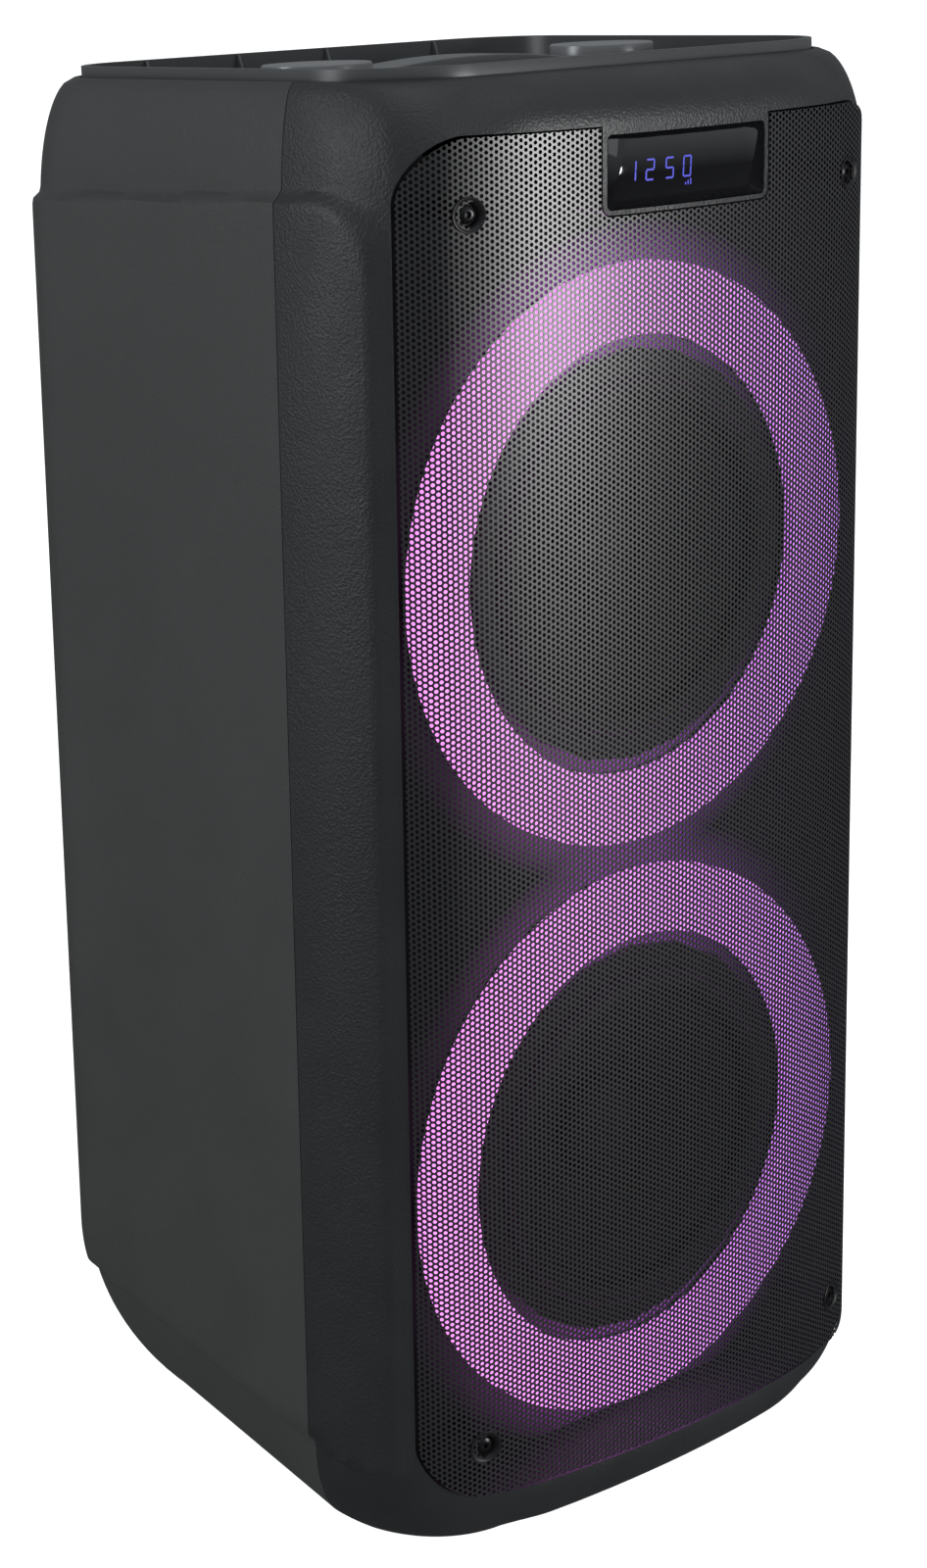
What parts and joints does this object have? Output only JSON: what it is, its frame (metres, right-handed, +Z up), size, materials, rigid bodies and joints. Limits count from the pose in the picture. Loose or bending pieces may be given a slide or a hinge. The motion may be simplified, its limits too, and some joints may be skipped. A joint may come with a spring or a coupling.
{
  "type": "party speaker",
  "caption": "Tall portable party speaker with a bowed perforated front, light rings round its woofers, a display, and a carry handle between two dials on top.",
  "frame": {"origin": "middle of the bounding box's underside, on the floor between the four feet", "axes": "+Z up; the grille faces -Y; +X is to the right as seen from the front"},
  "size_m": [0.3486, 0.3238, 0.7563],
  "materials": {
    "frame_plastic": "fine leather grain",
    "shell_plastic": "fine matte texture",
    "tray_plastic": "satin",
    "handle_plastic": "satin",
    "grille_paint": "satin black powder coat",
    "cup_paint": "satin black",
    "screw_steel": "black oxide",
    "baffle_board": "painted black",
    "light_diffuser": "frosted, lit",
    "circuit_board": "solder mask",
    "basket_steel": "black",
    "soft_rubber": "matte",
    "woofer_cone": "coated black",
    "magnet_ferrite": "bare ferrite",
    "display_lens": "polished black",
    "dial_plastic": "satin",
    "button_plastic": "satin",
    "socket_steel": "nickel plated",
    "panel_plastic": "satin",
    "fitting_plastic": "satin",
    "rocker_plastic": "semi-gloss",
    "heat_sink_alloy": "extruded",
    "battery_wrap": "shrink wrap"
  },
  "bodies": {
    "cabinet": {"front_frame": "frame_plastic", "rear_shell": "shell_plastic", "top_tray": "tray_plastic", "carry_handle": "handle_plastic", "grille": "grille_paint", "baffle": "baffle_board", "grille_cup_left_lower": "cup_paint", "grille_screw_left_lower": "screw_steel", "grille_cup_left_upper": "cup_paint", "grille_screw_left_upper": "screw_steel", "grille_cup_right_lower": "cup_paint", "grille_screw_right_lower": "screw_steel", "grille_cup_right_upper": "cup_paint", "grille_screw_right_upper": "screw_steel", "led_ring_lower": "light_diffuser", "led_board_lower": "circuit_board", "woofer_basket_lower": "basket_steel", "woofer_surround_lower": "soft_rubber", "woofer_magnet_lower": "magnet_ferrite", "led_ring_upper": "light_diffuser", "led_board_upper": "circuit_board", "woofer_basket_upper": "basket_steel", "woofer_surround_upper": "soft_rubber", "woofer_magnet_upper": "magnet_ferrite", "display_lens": "display_lens", "display_board": "circuit_board", "encoder_left": "socket_steel", "encoder_right": "socket_steel", "control_board": "circuit_board", "rear_panel": "panel_plastic", "mains_inlet": "fitting_plastic", "jack_socket_1": "fitting_plastic", "jack_socket_2": "fitting_plastic", "usb_socket": "socket_steel", "aux_socket": "fitting_plastic", "panel_screw_1": "screw_steel", "panel_screw_2": "screw_steel", "panel_screw_3": "screw_steel", "panel_screw_4": "screw_steel", "port_tube": "panel_plastic", "amplifier_board": "circuit_board", "heat_sink": "heat_sink_alloy", "power_supply": "heat_sink_alloy", "battery_pack": "battery_wrap", "foot_front_left": "soft_rubber", "foot_front_right": "soft_rubber", "foot_rear_left": "soft_rubber", "foot_rear_right": "soft_rubber"},
    "dial_left": {"dial_left": "dial_plastic"},
    "dial_right": {"dial_right": "dial_plastic"},
    "power_rocker": {"power_rocker": "rocker_plastic"},
    "button_1": {"button_1": "button_plastic"},
    "button_2": {"button_2": "button_plastic"},
    "button_3": {"button_3": "button_plastic"},
    "button_4": {"button_4": "button_plastic"},
    "button_5": {"button_5": "button_plastic"},
    "woofer_cone_lower": {"woofer_cone_lower": "woofer_cone", "dust_cap_lower": "woofer_cone"},
    "woofer_cone_upper": {"woofer_cone_upper": "woofer_cone", "dust_cap_upper": "woofer_cone"}
  },
  "joints": [
    {"name": "dial_left_turn", "type": "hinge", "parent": "cabinet", "child": "dial_left", "pos_m": [-0.096, 0.00107, 0.74627], "axis": [0, 0.036, 0.9994], "continuous": true},
    {"name": "dial_right_turn", "type": "hinge", "parent": "cabinet", "child": "dial_right", "pos_m": [0.096, 0.00107, 0.74627], "axis": [0, 0.036, 0.9994], "continuous": true},
    {"name": "button_1_press", "type": "slide", "parent": "cabinet", "child": "button_1", "axis": [0, -0.036, -0.9994], "range_m": [0, 0.0015], "stiffness_N_per_m": 300, "springref_m": -0.002},
    {"name": "button_2_press", "type": "slide", "parent": "cabinet", "child": "button_2", "axis": [0, -0.036, -0.9994], "range_m": [0, 0.0015], "stiffness_N_per_m": 300, "springref_m": -0.002},
    {"name": "button_3_press", "type": "slide", "parent": "cabinet", "child": "button_3", "axis": [0, -0.036, -0.9994], "range_m": [0, 0.0015], "stiffness_N_per_m": 300, "springref_m": -0.002},
    {"name": "button_4_press", "type": "slide", "parent": "cabinet", "child": "button_4", "axis": [0, -0.036, -0.9994], "range_m": [0, 0.0015], "stiffness_N_per_m": 300, "springref_m": -0.002},
    {"name": "button_5_press", "type": "slide", "parent": "cabinet", "child": "button_5", "axis": [0, -0.036, -0.9994], "range_m": [0, 0.0015], "stiffness_N_per_m": 300, "springref_m": -0.002},
    {"name": "power_rocker_tilt", "type": "hinge", "parent": "cabinet", "child": "power_rocker", "pos_m": [0.058, 0.15925, 0.6], "axis": [1, 0, 0], "range_deg": [0, 12]},
    {"name": "woofer_lower_stroke", "type": "slide", "parent": "cabinet", "child": "woofer_cone_lower", "axis": [0, 1, 0], "range_m": [-0.004, 0.004], "stiffness_N_per_m": 3000},
    {"name": "woofer_upper_stroke", "type": "slide", "parent": "cabinet", "child": "woofer_cone_upper", "axis": [0, 1, 0], "range_m": [-0.004, 0.004], "stiffness_N_per_m": 3000}
  ]
}
